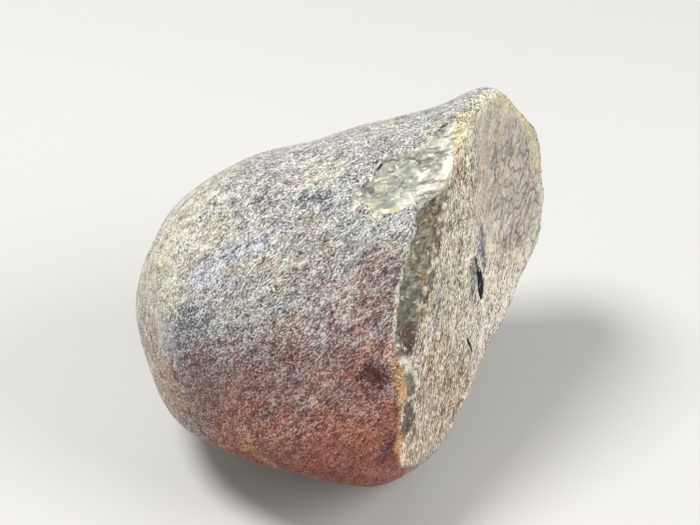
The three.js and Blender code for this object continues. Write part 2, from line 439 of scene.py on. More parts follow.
# Crystals along the chip and the ridge. The ones by the chip are of its glass.
def pebbleRelief(points, masks):
    size, depth = stoneRelief["pebble"]
    bands = [bell(routeDistance(points, route), width) for route, width in stoneRelief["pebbles"]]
    masks["pebbles"] = np.max(bands, axis=0)
    masks["raised"], masks["lot"] = domes(points, size, 65)
    glass = smoothStep(*stoneRelief["glassPebbles"], masks["pebbles"])
    glass *= smoothStep(*stoneRelief["glassTop"], masks["level"])
    glass *= smoothStep(*stoneRelief["glassFoot"], masks["level"])
    masks["smoky"] = np.maximum(masks["smoky"], glass)
    masks["glassy"] = np.maximum(masks["milky"], masks["smoky"])
    return depth * masks["raised"] * masks["pebbles"]


# Cracks along routes that noise bends, each as deep as a bell curve across it, with a mask of the
# painted shade inside them.
def crackRelief(points, masks):
    size, wander = stoneRelief["crackWander"]
    shift = np.stack([layeredNoise(points, size, 2, seed) for seed in (71, 75, 79)], -1)
    height, masks["crackShade"] = np.zeros(len(points)), np.zeros(len(points))
    for route, width, depth, dark in stoneRelief["cracks"]:
        away = routeDistance(points + wander * shift, route)
        height -= depth * bell(away, width)
        shade = dark * np.clip(1 - away / width / stoneRelief["crackFade"], 0, 1)
        masks["crackShade"] = np.maximum(masks["crackShade"], shade)
    return height


# The surface along each ray, with masks of what is where.
def stoneSurface(rays):
    reach, masks = brokenStone(rays)
    reach = bitten(rays, reach, masks)
    points = rays * reach[:, None]
    masks["level"] = points[:, 2]
    reach = reach + swell(points)
    for relief in (grainRelief, wrinkleRelief, glassRelief, pebbleRelief, crackRelief):
        reach = reach + relief(points, masks)
    far, worn = stoneShape["restSpot"]
    spot = planeReach(rays, (180, stoneShape["leanBack"] - 90), far)
    return rays * smoothMin(reach, spot, worn)[:, None], masks


# Stains on each region: route in mm or the middle of a patch, how wide, how strong.
stains = {
    "rind": {
        "cream": [([(-21.9, -11.7, 10.2), (-24.5, -8, 1.5)], 12, 1.1),
            ([(-15.1, -14.2, 12.1), (-14.9, -16.4, 6.8)], 5, 0.75), ((-4, -14, 17), 8, 0.5),
            ((-8, -18, 1.5), 3, 0.7), ((3, -17.5, 12), 3, 0.6),
            ((-15, -17, -2), 2.2, 0.7)],
        "frost": [([(-17.6, -16.4, 2), (-15.6, -16.8, 4.6), (-12.2, -17.5, 6.8)], 4, 1)],
        "slate": [([(-12.9, -17.4, 6), (-11.8, -17.6, 6.4)], 0.7, 1),
            ([(-20.6, -15.4, -5.6), (-16.9, -15.5, -11.5)], 8, 1), ((-13.4, -17.4, 1), 3, 0.6),
            ((1.5, -17.8, 8), 7, 0.5), ((-3.5, -17, 12.6), 5, 1.1),
            ((4, -16, 15.5), 2.4, 0.8), ([(5.2, -15.2, 20), (0, -14.5, 18)], 3.5, 0.5),
            ((-6.9, -15.6, -22.3), 2.4, 0.9), ((-11, -16.3, -17), 2.4, 0.9),
            ((-2, -18.8, -4), 4, 0.4), ((5, -18, -13.5), 1.8, 0.6),
            ([(3.2, -16.2, 16.4), (6, -15, 19)], 2.6, 0.9)],
        "plum": [([(4.5, -19.3, 0), (1, -19.4, -5.8)], 9, 0.9),
            ([(-3.2, -19, 0.3), (-3.5, -19, -3.5), (4.9, -19, -4)], 5, 0.6),
            ([(-17, -14, -15), (-6, -18, -12), (4, -18, -12)], 14, 1.1),
            ([(-5.7, -18.9, 6.1), (-2.1, -18.9, 6.6)], 4, 0.55), ((-14.5, -14.7, 11.7), 1.8, 0.7),
            ((5, -17.5, 17), 4, 0.3)],
        "rose": [((-3.2, -18.6, -11.3), 5, 0.9)],
        "tan": [([(-26.5, -6.2, -6.7), (-25.8, -6.6, -10.1), (-22.3, -9.9, -15.2)], 5.5, 1.1)],
        "rust": [([(-12, -12, -25), (-2, -15.8, -24.5), (6.3, -14.8, -22)], 14, 1.5),
            ([(-13, -5, -25), (3, -5, -27)], 12, 0.9),
            ([(-16, -14.5, -16), (-9, -16.5, -16.5)], 7, 0.6), ((3.5, -18.4, -10.5), 7, 0.9),
            ((-10.7, -18.1, -6.5), 2.8, 0.6), ((-7.5, -18.4, -8.7), 2.8, 0.5),
            ((-11.6, -17.3, -10.9), 3, 0.7), ((-23.2, -11.5, -10.4), 2.6, 0.8),
            ((-8.8, -19, 3.1), 1.8, 0.6)],
        "wine": [((3.7, -18.4, -10.9), 3.6, 1.3), ((-9.5, -17, -16.1), 2.4, 0.8),
            ((-22.8, -11.9, -11), 1.4, 0.9), ((-11.6, -17.3, -10.9), 1.6, 0.7),
            ((-7.8, -14.3, 14.4), 0.9, 0.8), ((-5.3, -19.2, 3.1), 0.8, 0.8),
            ((-10.7, -18.1, -6.5), 1.2, 0.6), ((6, -15, -20.5), 4, 0.6)],
        "ochre": [([(-12.8, -14.1, -20.9), (-11.4, -12.5, -22), (-9.3, -12.9, -23.2)], 1.8, 0.9),
            ([(3.4, -16.9, 13.3), (3.1, -18, 11.2), (3.7, -18.5, 10.2)], 1.1, 0.75)],
        "peach": [((-4.1, -18.2, -14.2), 1.4, 0.8), ((-12.8, -15, -19), 1.8, 0.7),
            ((3, -18.9, -7.2), 1.4, 0.8), ((-8.5, -17, -14), 2.2, 0.5),
            ([(5.9, -18.4, -5), (6.1, -18.2, -10)], 1.5, 0.6)],
        "umber": [((3.3, -17.4, 12.6), 0.6, 0.9), ((5.7, -15.3, 17.6), 0.5, 0.9),
            ([(5.6, -15.3, 17.4), (4.2, -16.2, 15.6), (3.4, -17, 13.4)], 0.8, 0.8)],
    },
    "end": {
        # Dark blue painted shade round the slit and round a crack beside it.
        "navyShade": [([(18.2, -3.2, 3), (18.2, -2.3, 0.6), (18.5, -1.2, -1.4)], 2.2, 0.75),
            ([(18.8, -3.8, 8.2), (19.2, -2.7, 5.9), (19.6, -1.6, 3.6)], 2, 0.8),
            ((19, -2.9, 6.2), 2, 1), ([(21.4, 0, 7.6), (21.6, 1.2, 5)], 1.2, 0.5)],
        "rose": [([(21.5, -3.5, 15), (20.8, -3.8, 11)], 3, 0.6),
            ([(11.8, -12, -7), (11, -10.5, -12)], 3.5, 0.5)],
        "slate": [([(25.5, 3, 16.6), (24, -2, 19)], 6, 0.5),
            ([(12.9, -12.5, 2), (12.6, -12.5, -0.5), (12.3, -12, -4)], 3.2, 0.8)],
        "plum": [([(19.5, -5.5, 14), (18, -8, 18)], 3.5, 0.5),
            ([(12, -12, -5), (11.5, -11, -11)], 3, 0.4)],
        "tan": [([(10.8, -9.5, -14.6), (11.6, -5.9, -19)], 6, 0.8),
            ([(9.6, -12, -17.5), (9.4, -10.8, -20.5)], 3, 1.1),
            ([(23.1, 7.9, -4.5), (18.5, 3.6, -12.1), (15.5, 0.9, -17.6)], 3.4, 0.7),
            ([(13.2, -2.3, -20.7), (11, -9, -17)], 5, 0.7),
            ([(9.5, -14.4, -5.6), (9.8, -13.8, -8.6)], 2.6, 0.9)],
        "cream": [([(11.8, -12, -6), (11.5, -10.5, -13)], 3, 0.5),
            ((9.2, -14.2, -11.5), 1.6, 0.9)],
        "umber": [((9.2, -14.8, -6.8), 1.3, 0.5),
            ([(8.9, -14.2, -16.4), (9.2, -13.6, -18.4)], 1.2, 0.7)],
        "ochre": [([(14.4, -14.6, 13), (13.4, -14.2, 8), (12, -14.5, 2)], 1.8, 0.5)],
    },
    "glass": {
        "smoke": [([(10, -14.8, 16.8), (12, -14.2, 18.4)], 1.8, 0.6),
            ([(8, -16, 13.6), (7.2, -15.8, 14.8)], 1.6, 0.4),
            ([(8.5, -17.6, -1), (7.8, -17.2, -3.6)], 2.4, 0.7),
            ([(9, -15.4, -11.3), (9.2, -14, -16.2)], 3, 0.3)],
        "amber": [([(11.2, -16.4, 10), (11.5, -16, 6.5)], 1.7, 0.55),
            ((10.3, -16.5, 1.6), 1.8, 1)],
        "umber": [([(8, -16.6, -5), (8.5, -15.8, -7.4)], 2.2, 1.2),
            ([(8.7, -14.4, -14.8), (8.7, -14, -17.4)], 2.4, 1.5), ((8.9, -17, 2.5), 0.9, 0.6)],
        "white": [((10.9, -16.2, 5), 0.5, 0.6), ((10.4, -16.4, 0.4), 0.5, 0.6)],
    },
    "everywhere": {
        "butter": [([(20.4, -7.2, 26.7), (18.2, -11.1, 24.3), (15.6, -12.9, 22.6)], 2.2, 1.4),
            ([(18.2, -11.1, 24.3), (15.2, -13.1, 21.3), (15, -14, 19.2),
              (14.1, -15.2, 15.2)], 1.7, 1.3), ([(13.7, -15.6, 14), (12.6, -16.2, 13.2)], 1.3, 0.9),
            ([(21.5, -7.2, 27.6), (24.5, -2, 25), (26.8, 2.6, 21.4), (27.9, 5.3, 17.5)], 1.8, 1.1),
            ([(3.7, -17.2, 11.3), (5.2, -15.6, 15.6), (7.5, -14.9, 18),
              (9.4, -14.4, 19.2)], 1.5, 0.6),
            ([(3.9, -17.9, 10.2), (7, -17.6, 10.6), (9.4, -17, 12)], 0.8, 0.8),
            ([(7.4, -17, -9.3), (8.6, -15.4, -10.1), (9.4, -14.8, -11.6)], 1.2, 1.2)],
        "cream": [([(27.9, 5.3, 17.5), (28.4, 8.9, 10.9), (27.5, 9.5, 4)], 1.7, 1)],
        "ochre": [([(15, -14, 18.6), (14.2, -15.2, 14.4)], 1.3, 1),
            ([(6.9, -17.5, -9.4), (7.4, -17, -11.4), (7.7, -16.6, -12.6),
              (7.6, -16.6, -14.2)], 1.5, 1.5),
            ([(7.5, -16.4, -15.4), (7.2, -16, -18), (7.1, -15.4, -19.9)], 0.8, 1.2),
            ([(7.2, -15.2, -19.9), (7.8, -13.2, -22)], 1.5, 1.1), ((15.8, -13, 23), 1.6, 0.4),
            ((9.8, -16.7, -3.9), 1.2, 0.5),
            ([(15.1, -14.3, 18.6), (15.2, -13.6, 16), (15.3, -12.9, 14.2)], 1.3, 1)],
        "amber": [([(13.3, -15.8, 12.6), (12.5, -15.4, 10.4), (11.9, -15.4, 5.5)], 1.7, 0.6)],
        "umber": [([(15.2, -14, 17.8), (15.2, -13.6, 15.9)], 0.7, 1),
            ((14.2, -14.7, 15.4), 0.8, 0.7)],
        "white": [([(19.4, -9, 25.6), (17.2, -11.9, 23.6)], 1.2, 0.45),
            ([(12.9, -13.3, 19.6), (14.2, -12.5, 21.6)], 1.3, 0.62),
            ([(9.2, -14.9, 15.8), (10.2, -15.4, 14.9), (10.9, -15.1, 15.9)], 0.8, 0.6),
            ([(7.6, -17.3, 11.4), (9.8, -16.3, 12.9), (13.4, -15.6, 14.4)], 1.3, 0.62),
            ([(12.2, -15.5, 14.6), (13.6, -14.6, 17)], 1.4, 0.62),
            ([(9.2, -17.9, 8.8), (8.2, -18.5, 5.6), (7.4, -18.6, 3.2), (6.9, -18.9, 0.4),
              (6.5, -18.7, -2.9), (6.3, -18.4, -5.5)], 0.6, 0.55),
            ([(7.6, -17, -8.9), (8.4, -16.2, -9.4), (9, -14.4, -10.1), (9.5, -13.6, -10.9),
              (9.8, -12.8, -12)], 1.1, 0.75), ((12.7, -14.9, 8.4), 0.8, 0.5),
            ((11.7, -15.2, 3.9), 1, 0.5)],
    },
}
stainStrengths = {
    "cream": 0.8, "butter": 0.9, "frost": 0.7, "slate": 0.65, "plum": 0.75, "rose": 0.7,
    "tan": 0.7, "rust": 0.8, "wine": 0.9, "peach": 0.8, "ochre": 0.85, "amber": 0.85,
    "umber": 0.9, "smoke": 0.9, "navyShade": 0.9, "white": 1.0}
stainEdges = {
    "bendSize": 4.0,  # mm, of the noise that pushes stains about
    "bendShare": 0.4,  # how far it pushes them, in widths,
    "bendMost": 2.2,  # and at most, in mm
    "reach": 1.25,  # widths from its route to where a stain ends
}
hiddenStains = {  # faint patches behind
    "from": (-6, 6),  # mm away from the looker, over which they come in
    "size": 11.0,  # mm
    "bend": 2,  # mm
    "fade": 0.5,  # of the noise, from clear to full
    "strength": 0.8,
    "kinds": {"slate": (131, 0.15), "plum": (141, 0.0), "rust": (151, 0.3), "ochre": (161, 0.5),
              "cream": (171, 0.0)},  # seed, and how much of the noise stays clear
}
rimStains = {  # on the edges of the break and of the facets
    "cream": 0.7,
    "creamByDeep": 0.2,  # share of its width left by the deep part
    # white on the facets' lips: partly crumbs of their own white, partly painted highlight on the
    # rims
    "white": 0.9,
    "umber": 0.5,  # where the white has gaps
    "gapSize": 0.9,  # mm
    "gaps": (-0.3, 0.5),  # of the noise, from a gap to whole white
}
pebbleStains = {
    "near": (0.3, 0.6),  # how near its route a crystal is stained
    "gaps": (-0.36, -0.56),  # height between two crystals
    "ridge": (13.5, 15.5),  # mm up, from the chip to the ridge
    "umber": (0.55, 0.25),  # strength in the gaps, by the chip and on the ridge, partly painted shade
    "lots": [  # the lots that get a stain, and the same two strengths
        ("butter", 0.0, 0.5, (0.75, 0.9)),
        # white tops are partly the crystals' own white, partly painted glints
        ("white", 0.5, 0.65, (0.45, 0.7)),
        ("amber", 0.65, 1.0, (0.7, 0.3))],
}


# A stain's strength falls from its route to its rim, on points that noise has pushed about: far
# for wide stains, little for narrow ones.
def stainMasks(points, masks):
    found = {kind: np.zeros(len(points)) for kind in stainStrengths}

    def lay(kind, mask):
        found[kind] = np.maximum(found[kind], stainStrengths[kind] * mask)

    shift = np.stack([layeredNoise(points, stainEdges["bendSize"], 3, seed)
                      for seed in (101, 111, 121)], -1)
    behind = hiddenStains["strength"] * smoothStep(*hiddenStains["from"], points[:, 1])
    for kind, (seed, clear) in hiddenStains["kinds"].items():
        bent = points + hiddenStains["bend"] * shift
        patches = layeredNoise(bent, hiddenStains["size"], 3, seed)
        lay(kind, behind * smoothStep(clear, clear + hiddenStains["fade"], patches))

    dull = 1 - masks["glassy"]
    regions = {"rind": (1 - masks["broken"]) * dull, "end": masks["broken"] * dull,
               "glass": masks["glassy"], "everywhere": 1.0}
    marks = [(regions[region], kind, *mark) for region, kinds in stains.items()
             for kind, laid in kinds.items() for mark in laid]
    for share, kind, route, width, strength in marks:
        push = min(stainEdges["bendMost"], stainEdges["bendShare"] * width)
        away = routeDistance(points + shift * push, route) / width
        lay(kind, share * strength * smoothStep(stainEdges["reach"], 0.0, away))

    narrowed = masks["edge"] * between(1, rimStains["creamByDeep"], masks["deep"])
    lay("cream", rimStains["cream"] * np.maximum(narrowed, masks["brink"]) * dull)
    whole = smoothStep(*rimStains["gaps"], layeredNoise(points, rimStains["gapSize"], 2, 131))
    # Along the facets' lips: white crumbs that are partly painted highlight on the rims, umber in
    # their gaps.
    lay("white", rimStains["white"] * masks["lip"] * whole)
    lay("umber", rimStains["umber"] * masks["lip"] * (1 - whole))

    crystals = smoothStep(*pebbleStains["near"], masks["pebbles"])
    gap = smoothStep(*pebbleStains["gaps"], masks["raised"])
    ridge = smoothStep(*pebbleStains["ridge"], points[:, 2])
    # Umber low between the crystals, partly their colour and partly painted shade; white on some
    # tops, partly painted glint.
    lay("umber", between(*pebbleStains["umber"], ridge) * crystals * gap)
    for kind, low, high, strengths in pebbleStains["lots"]:
        chosen = crystals * (1 - gap) * (masks["lot"] >= low) * (masks["lot"] < high)
        lay(kind, chosen * between(*strengths, ridge))
    return found


# Points leaned back with the stone, moved onto the row's origin and turned from mm to metres.
def setDown(points):
    lean = math.radians(stoneShape["leanBack"])
    x, y, z = points.T
    turned = np.stack([x, y * math.cos(lean) + z * math.sin(lean),
                       z * math.cos(lean) - y * math.sin(lean)], -1)
    return (turned + np.array(stoneShape["setDown"])) / 1000


# A direction of the held pose, leaned back with the stone.
def rowDirection(direction):
    lean = math.radians(-stoneShape["leanBack"])
    return Euler((lean, 0, 0)).to_matrix() @ Vector(direction)


def placeObject(name, data):
    placed = bpy.data.objects.new(name, data)
    bpy.context.scene.collection.objects.link(placed)
    return placed


def makeStone():
    rays, faces = cubeRays(stoneShape["squares"], stoneShape["finerTowards"])
    points, masks = stoneSurface(rays)
    masks.update(stainMasks(points, masks))
    mesh = bpy.data.meshes.new("agateSurface")
    mesh.from_pydata(setDown(points), [], faces)
    mesh.polygons.foreach_set("use_smooth", np.ones(len(faces), bool))
    for name in [*stainStrengths, "crackShade", "deep", "level", "fold", "wrinkled", "smoky"]:
        layer = mesh.attributes.new(name, "FLOAT", "POINT")
        layer.data.foreach_set("value", masks[name].astype(np.float32))
    glassy, broken = (masks[name][faces].mean(1) > 0.5 for name in ("glassy", "broken"))
    finish = np.where(glassy, 2, np.where(broken, 1, 0))
    mesh.polygons.foreach_set("material_index", finish.astype(np.int32))
    mesh.update()
    return placeObject("agateStone", mesh)


# A colour given as it looks on a screen, red, green and blue from 0 to 255.
def tone(red, green, blue):
    linear = [((c / 255 + 0.055) / 1.055) ** 2.4 if c > 10 else c / 255 / 12.92
              for c in (red, green, blue)]
    return (*linear, 1.0)


# A node tree. Each method adds a node and gives its output, or all of them where there are more.
# What goes in is a value, the name of one of the stone's colours or another node's output.
class Nodes:
    def __init__(self, tree):
        self.tree = tree

    def feed(self, socket, value):
        if isinstance(value, bpy.types.NodeSocket):
            self.tree.links.new(value, socket)
        else:
            socket.default_value = stoneColours[value] if isinstance(value, str) else value

    def add(self, kind, inputs, **settings):
        made = self.tree.nodes.new("ShaderNode" + kind)
        for name, value in settings.items():
            setattr(made, name, value)
        for name, value in inputs.items():
            self.feed(made.inputs[name], value)
        return made.outputs

    def math(self, operation, first, second=0.0, third=0.0):
        return self.add("Math", {0: first, 1: second, 2: third}, operation=operation)[0]

    def times(self, first, second):
        return self.math("MULTIPLY", first, second)

    def larger(self, first, second):
        return self.math("MAXIMUM", first, second)

    def between(self, start, end, share):
        return self.math("MULTIPLY_ADD", share, end - start, start)

    def ramp(self, value, low, high):
        return self.add("MapRange", {0: value, 1: low, 2: high},
                        interpolation_type="SMOOTHSTEP")[0]

    def blend(self, share, first, second, how="MIX"):
        return self.add("Mix", {0: share, 6: first, 7: second}, data_type="RGBA",
                        blend_type=how)[2]

    # A share of a colour seen through a filter.
    def filtered(self, share, colour, tint):
        return self.blend(share, colour, self.blend(1.0, colour, tint, "MULTIPLY"))

    def split(self, colour):
        return self.add("SeparateColor", {0: colour})

    def noise(self, place, scale, detail, roughness=0.5, distortion=0.0):
        return self.add("TexNoise", {"Vector": place, "Scale": scale, "Detail": detail,
                                     "Roughness": roughness, "Distortion": distortion})

    def cells(self, place, scale):
        return self.add("TexVoronoi", {"Vector": place, "Scale": scale})

    def group(self, tree, **inputs):
        return self.add("Group", inputs, node_tree=tree)

    def mask(self, name):
        return self.add("Attribute", {}, attribute_name=name)["Fac"]

    # The mask of painted shade in the cracks falls off slowly, so this cut through it is sharper
    # than the mesh.
    crackCut = (0.42, 0.50)

    def crackShade(self):
        return self.ramp(self.mask("crackShade"), *self.crackCut)

    def bump(self, height, strength, distance):
        return self.add("Bump", {"Height": height, "Strength": strength, "Distance": distance})[0]

    # Object coordinates turned so that x runs along a direction, and pulled out that way.
    def lay(self, direction, stretch):
        turn = rowDirection(direction).to_track_quat("X", "Z").to_euler()
        spot = self.add("TexCoord", {})["Object"]
        return self.add("Mapping", {"Vector": spot, "Rotation": turn, "Scale": (stretch, 1, 1)},
                        vector_type="TEXTURE")[0]


# A group with named sockets: kinds are Float, Color or Vector.
def newGroup(name, inputs, outputs):
    tree = bpy.data.node_groups.new(name, "ShaderNodeTree")
    for way, sockets in (("INPUT", inputs), ("OUTPUT", outputs)):
        for label, kind in sockets.items():
            tree.interface.new_socket(label, in_out=way, socket_type="NodeSocket" + kind)
    given = tree.nodes.new("NodeGroupInput").outputs
    return tree, Nodes(tree), given, tree.nodes.new("NodeGroupOutput").inputs


# A Principled material. What is the same all over it is set on the shader's own sockets.
def newMaterial(name, constants):
    material = bpy.data.materials.new(name)
    material.use_nodes = True
    tree = material.node_tree
    tree.nodes.clear()
    shader = tree.nodes.new("ShaderNodeBsdfPrincipled")
    out = tree.nodes.new("ShaderNodeOutputMaterial")
    tree.links.new(shader.outputs[0], out.inputs[0])
    for label, value in constants.items():
        shader.inputs[label].default_value = value
    return material, Nodes(tree), shader.inputs


stoneColours = {
    "rind": tone(170, 167, 161),
    "brokenEnd": tone(183, 172, 140),
    "footEnd": tone(164, 136, 88),
    "deepEnd": tone(179, 169, 157),
    "deepLow": tone(217, 206, 190),
    "milky": tone(141, 143, 134),
    "milkyWisp": tone(185, 185, 168),
    "smoky": tone(62, 59, 42),
    "smokyWisp": tone(152, 145, 115),
    "cream": tone(202, 196, 176),
    "butter": tone(199, 190, 147),
    "frost": tone(186, 190, 203),
    "slate": tone(103, 106, 117),
    "plum": tone(120, 86, 82),
    "rose": tone(172, 138, 130),
    "peach": tone(208, 170, 144),
    "tan": tone(166, 134, 108),
    "rust": tone(146, 84, 64),
    "wine": tone(88, 36, 30),
    "ochre": tone(194, 143, 84),
    "amber": tone(144, 118, 56),
    "umber": tone(78, 55, 38),
    "smoke": tone(84, 85, 74),
    # dark blue: painted shade round the slit
    "navyShade": tone(36, 54, 78),
    "white": tone(234, 230, 212),
    # near black: painted shade inside the cracks
    "crackShade": tone(6, 8, 13),
    "lightFleck": tone(250, 248, 240),
    "darkFleck": (0.11, 0.105, 0.12, 1),  # the rest are filters
    "redFleck": (0.34, 0.17, 0.16, 1),
    "warm": (1.06, 1.0, 0.86, 1),
    "cool": (0.90, 0.97, 1.07, 1),
    "pink": (1.035, 0.965, 1.0, 1),
    "green": (0.975, 1.02, 0.975, 1),
    "shade": (0.80, 0.78, 0.80, 1),
    # crease is a filter for painted shade in the glass's creases, and for the broken end's dim
    # streaks
    "crease": (0.58, 0.56, 0.58, 1),
    # furrow is a filter for painted shade in the deep part's wrinkles
    "furrow": (0.52, 0.51, 0.51, 1),
    "lilac": (0.95, 0.93, 1.03, 1),
    "straw": (1.05, 1.01, 0.86, 1),
    "shine": (1.14, 1.14, 1.12, 1),
}


grainLook = {
    "fine": (0.75, 2.0, 0.85),  # noises: scale against the grains', detail, weight
    "clump": (0.16, 3.0, 0.45),
    "lot": 0.25,  # weight of each grain's own lot
    "light": (0.78, 0.92),  # of their sum, from no fleck to a whole one
    "dark": (0.75, 0.57),
    "spots": 0.3,  # scale of the sparse spots against the grains'
    "rim": (0.34, 0.16),  # of a spot
    "paintedGlints": (0.84, 0.90),  # lots that make it a painted glint, a white pinpoint of sparkle,
    "holes": (0.10, 0.05),  # or a hole
    "dome": 0.5,  # height of a grain against that sum
}


# Sugary grains: masks of light and dark flecks, sparse painted glints and holes, and the grains'
# height.
# Light flecks sit on the raised grains and dark flecks and holes in the low ones, so they are
# partly grain colour and partly painted highlight and painted shade.
def sugarGrainGroup():
    group, nodes, given, result = newGroup(
        "sugarGrain", {"Vector": "Vector", "Scale": "Float"},
        {"Light": "Float", "Dark": "Float", "PaintedGlint": "Float", "Height": "Float"})
    cells = nodes.cells(given["Vector"], given["Scale"])
    mixed = nodes.times(nodes.split(cells["Color"])[0], grainLook["lot"])
    for scale, detail, weight in (grainLook["fine"], grainLook["clump"]):
        scaled = nodes.times(given["Scale"], scale)
        noise = nodes.noise(given["Vector"], scaled, detail)[0]
        mixed = nodes.math("MULTIPLY_ADD", noise, weight, mixed)
    spots = nodes.cells(given["Vector"], nodes.times(given["Scale"], grainLook["spots"]))
    lot = nodes.split(spots["Color"])[0]
    spot = nodes.ramp(spots["Distance"], *grainLook["rim"])
    paintedGlint = nodes.times(spot, nodes.ramp(lot, *grainLook["paintedGlints"]))
    # A hole is both darkened and sunk: painted shade in a pit.
    hole = nodes.times(spot, nodes.ramp(lot, *grainLook["holes"]))
    domed = nodes.between(grainLook["dome"], 0.0, cells["Distance"])
    # The height rises with the same sum as the flecks: light flecks sit high, dark ones low.
    height = nodes.math("SUBTRACT", nodes.math("ADD", domed, mixed), hole)
    nodes.feed(result["Light"], nodes.larger(nodes.ramp(mixed, *grainLook["light"]), paintedGlint))
    nodes.feed(result["Dark"], nodes.larger(nodes.ramp(mixed, *grainLook["dark"]), hole))
    nodes.feed(result["PaintedGlint"], paintedGlint)
    nodes.feed(result["Height"], height)
    return group


stainLook = {
    "fray": (900.0, 5.0, 0.8),  # noises: scale in a metre, detail, roughness
    "drift": (300.0, 5.0, 0.75),
    "fraying": (0.28, 0.72),  # of the noise, from a clear grain to a stained one
    "drifting": (0.32, 0.68),  # and from one tint of a pair to the other
    "cover": 2.0,  # a mask of 0.5 stains about half the grains, and a mask of 1 all of them
    "tints": [("cool", "warm"), ("green", "pink"), ("shade", "shine")],
}


# The stains that the mesh's masks give, laid over a ground colour and frayed grain by grain by
# noise. More noise then tints it all warm or cool, pink or green, and lighter or darker.
def stainGroup():
    group, nodes, given, result = newGroup(
        "stains", {"Colour": "Color", "Vector": "Vector", "Drift": "Float"}, {"Colour": "Color"})
    frays = nodes.split(nodes.noise(given["Vector"], *stainLook["fray"])["Color"])
    colour = given["Colour"]
    for number, name in enumerate(stainStrengths):
        frayed = nodes.ramp(frays[number % 3], *stainLook["fraying"])
        clear = nodes.math("SUBTRACT", frayed, 1.0)
        share = nodes.math("MULTIPLY_ADD", nodes.mask(name), stainLook["cover"], clear)
        colour = nodes.blend(nodes.ramp(share, 0.0, 1.0), colour, name)
    drifts = nodes.split(nodes.noise(given["Vector"], *stainLook["drift"])["Color"])
    for drift, (low, high) in zip(drifts, stainLook["tints"]):
        tint = nodes.blend(nodes.ramp(drift, *stainLook["drifting"]), low, high)
        colour = nodes.filtered(given["Drift"], colour, tint)
    # Painted shade inside the cracks, near black.
    nodes.feed(result["Colour"], nodes.blend(nodes.crackShade(), colour, "crackShade"))
    return group


paintedGlintWhite = 0.4  # at least this share of white in a painted glint
grainBump = 0.0003  # m


# Light flecks are the colour screened with itself and made partly white, painted glints more so;
# dark ones are filtered. None lie in the cracks' painted shade.
def flecked(nodes, colour, grain, white, light, dark, shade):
    own = nodes.blend(1.0, colour, colour, "SCREEN")
    paintedGlint = nodes.times(grain["PaintedGlint"], paintedGlintWhite)
    paler = nodes.blend(nodes.larger(white, paintedGlint), own, "lightFleck")
    darker = nodes.blend(1.0, colour, shade, "MULTIPLY")
    whole = nodes.between(1.0, 0.0, nodes.crackShade())
    # Both kinds of fleck follow the grains' height: partly grain colour, partly painted highlight
    # and painted shade.
    lightShare = nodes.times(nodes.times(grain["Light"], light), whole)
    darkShare = nodes.times(nodes.times(grain["Dark"], dark), whole)
    return nodes.blend(darkShare, nodes.blend(lightShare, colour, paler), darker)


rindLook = {
    "shader": {"Sheen Weight": 0.08, "Roughness": 0.6, "Specular IOR Level": 0.35},
    "run": (0.75, 0.0, 0.65),  # the way the grains are drawn out
    "stretch": 2.0,  # and how much
    "grains": 7400.0,  # in a metre
    "white": (0.75, 0.17),  # in light flecks: on plain rind, and on red stains
    "light": (1.0, 0.8),  # strength of light flecks there
    "dark": (1.0, 0.75),  # and of dark ones: on plain rind, and on slate
    "roughness": (0.65, 0.35),  # plain, and on light flecks
}


# On red stains the light flecks are fainter and less white, and the dark ones are red. On slate
# the dark ones are fainter.
def rindMaterial(groups):
    material, nodes, shader = newMaterial("sugaryRind", rindLook["shader"])
    lay = nodes.lay(rindLook["run"], rindLook["stretch"])
    grain = nodes.group(groups["grain"], Vector=lay, Scale=rindLook["grains"])
    ground = nodes.group(groups["stains"], Colour="rind", Vector=lay, Drift=1.0)[0]
    red = nodes.larger(nodes.mask("rust"), nodes.larger(nodes.mask("plum"), nodes.mask("wine")))
    white = nodes.between(*rindLook["white"], red)
    light = nodes.between(*rindLook["light"], red)
    dark = nodes.between(*rindLook["dark"], nodes.mask("slate"))
    shade = nodes.blend(red, "darkFleck", "redFleck")
    dull = nodes.between(*rindLook["roughness"], grain["Light"])
    nodes.feed(shader["Base Color"], flecked(nodes, ground, grain, white, light, dark, shade))
    nodes.feed(shader["Roughness"], nodes.larger(dull, nodes.crackShade()))
    nodes.feed(shader["Normal"], nodes.bump(grain["Height"], 1.0, grainBump))
    return material


endLook = {
    "shader": {"Sheen Weight": 0.1, "Roughness": 0.6},
    "stretch": 1.9,  # of the grains, along the streaks
    "grains": 5500.0,  # in a metre
    "foot": (-1.0, -15.0),  # mm up, from the strip to its foot,
    "low": (14.0, 4.0),  # from the deep part to its low end
    "quiet": (0.0, 9.0),  # and from streaks to the deep part's calm
    "streaks": (2200.0, 3.0),  # in a metre, and detail
    "streakStretch": 6.0,
    "hues": (0.38, 0.62),  # of the streaks' noise, from lilac to straw,
    "dim": (0.46, 0.34),  # from none to a dim streak
    "pale": (0.54, 0.68),  # and to a pale one
    "paleWhite": 0.55,
    "calm": (1.0, 0.3),  # strength of streaks: elsewhere, and in the calm
    "wobble": (0.9, 0.12),  # height that leaves a wrinkle straight, and its bend
    "furrow": (0.15, 0.0),  # from a wrinkle's side to its middle, where shade is painted
    "furrowDepth": -0.6,
    "light": (1.0, 0.3),  # light flecks: elsewhere, and in the calm or in the painted shade round the slit
    "white": 0.75,
    "dark": (1.0, 0.4),  # dark ones: elsewhere, and in the calm or on butter
    "roughness": 0.62,
    "bump": (1.0, 0.5),  # grains' height: elsewhere, and in the calm
    "bumpStrength": 0.9,
}
